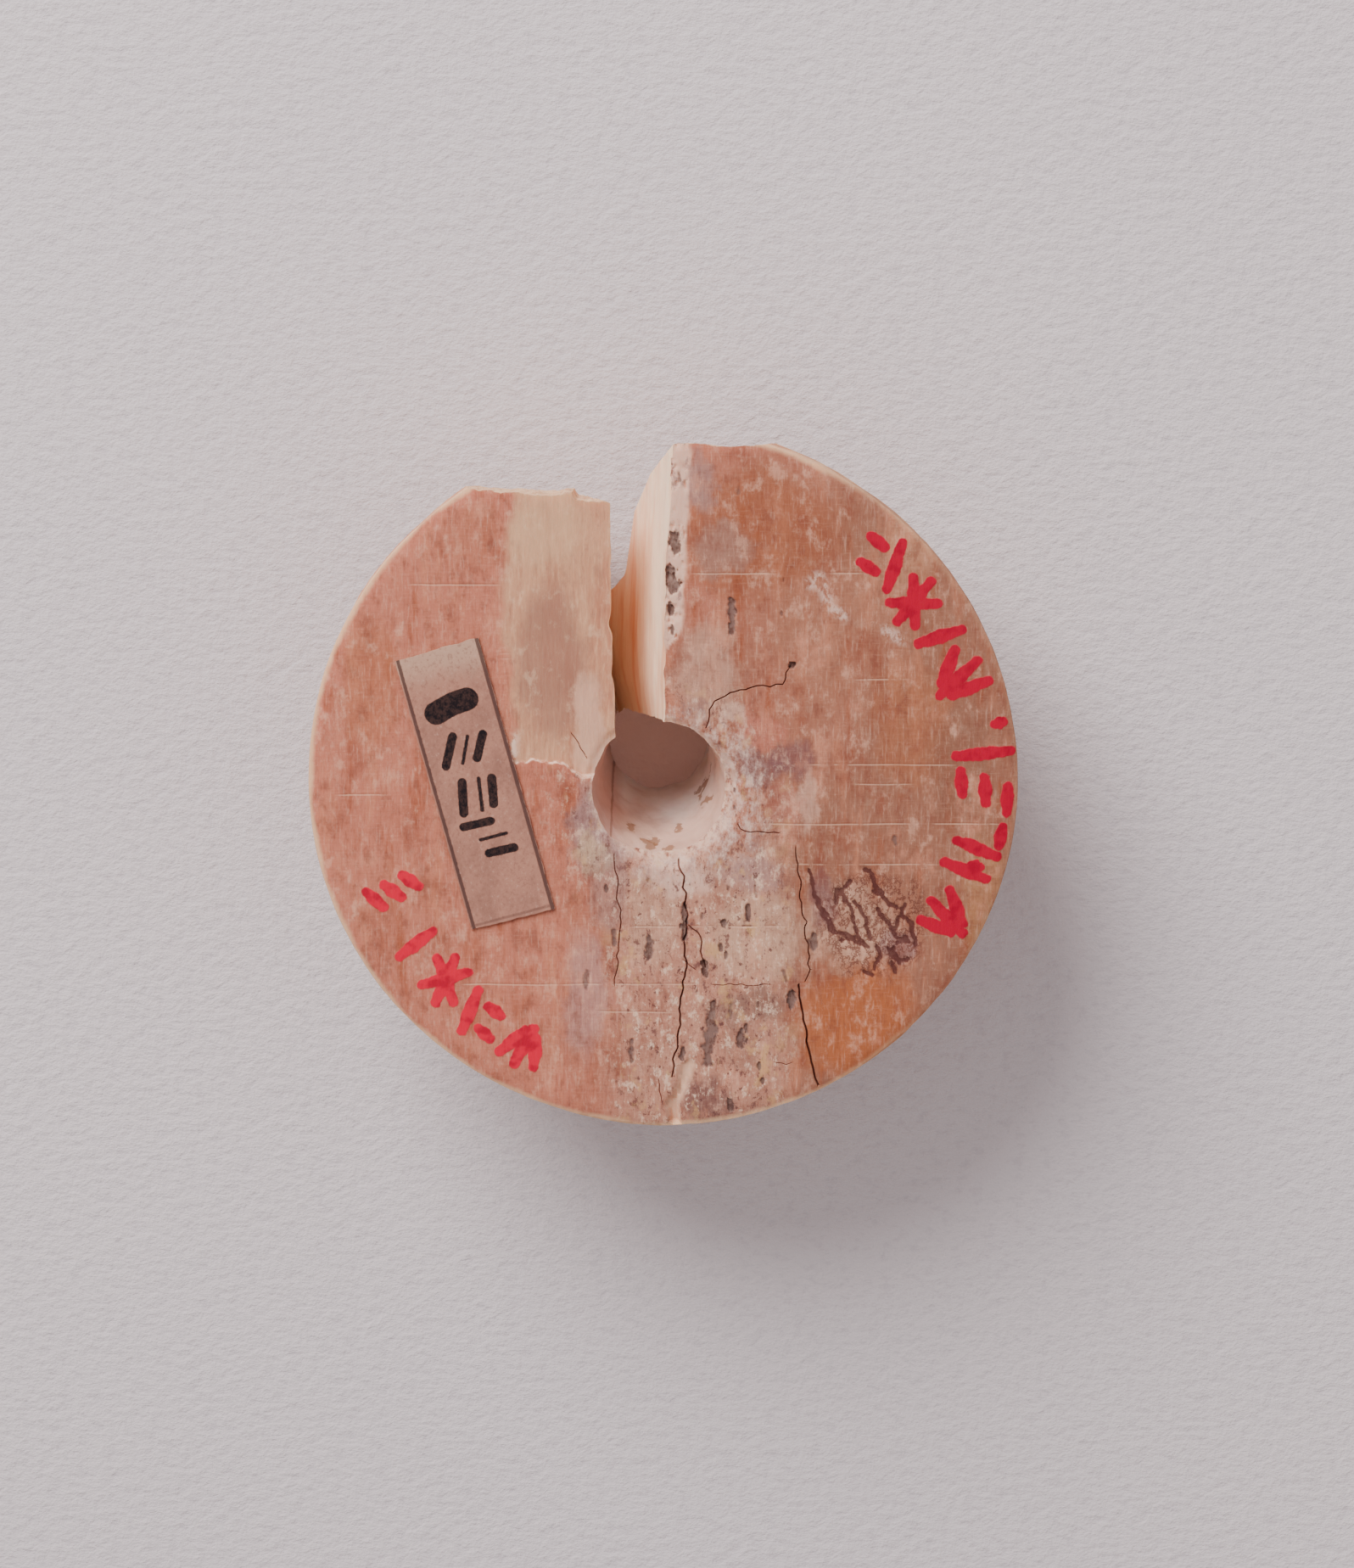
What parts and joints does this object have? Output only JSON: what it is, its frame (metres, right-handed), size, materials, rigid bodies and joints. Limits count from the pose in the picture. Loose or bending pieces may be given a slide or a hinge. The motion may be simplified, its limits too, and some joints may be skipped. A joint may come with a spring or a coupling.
{
  "type": "bone spindle whorl",
  "caption": "Plano-convex bone spindle whorl, a drilled weight that kept a hand spindle turning, with an old break open from the hole to the rim.",
  "frame": {"origin": "middle of the outline, at the level of the foot", "axes": "+Z out of the flat face, along the spindle hole, +Y towards the broken side with the slot, +X to the right of it"},
  "size_m": [0.042, 0.0414, 0.0142],
  "materials": {
    "bone": "worn, faintly polished old bone with an upright grain, pinkish tan, stained and cracked",
    "tag_paper": "old matt paper, yellowed grey-beige"
  },
  "bodies": {
    "root": {"bone_whorl": "bone", "paper_tag": "tag_paper"}
  },
  "joints": []
}
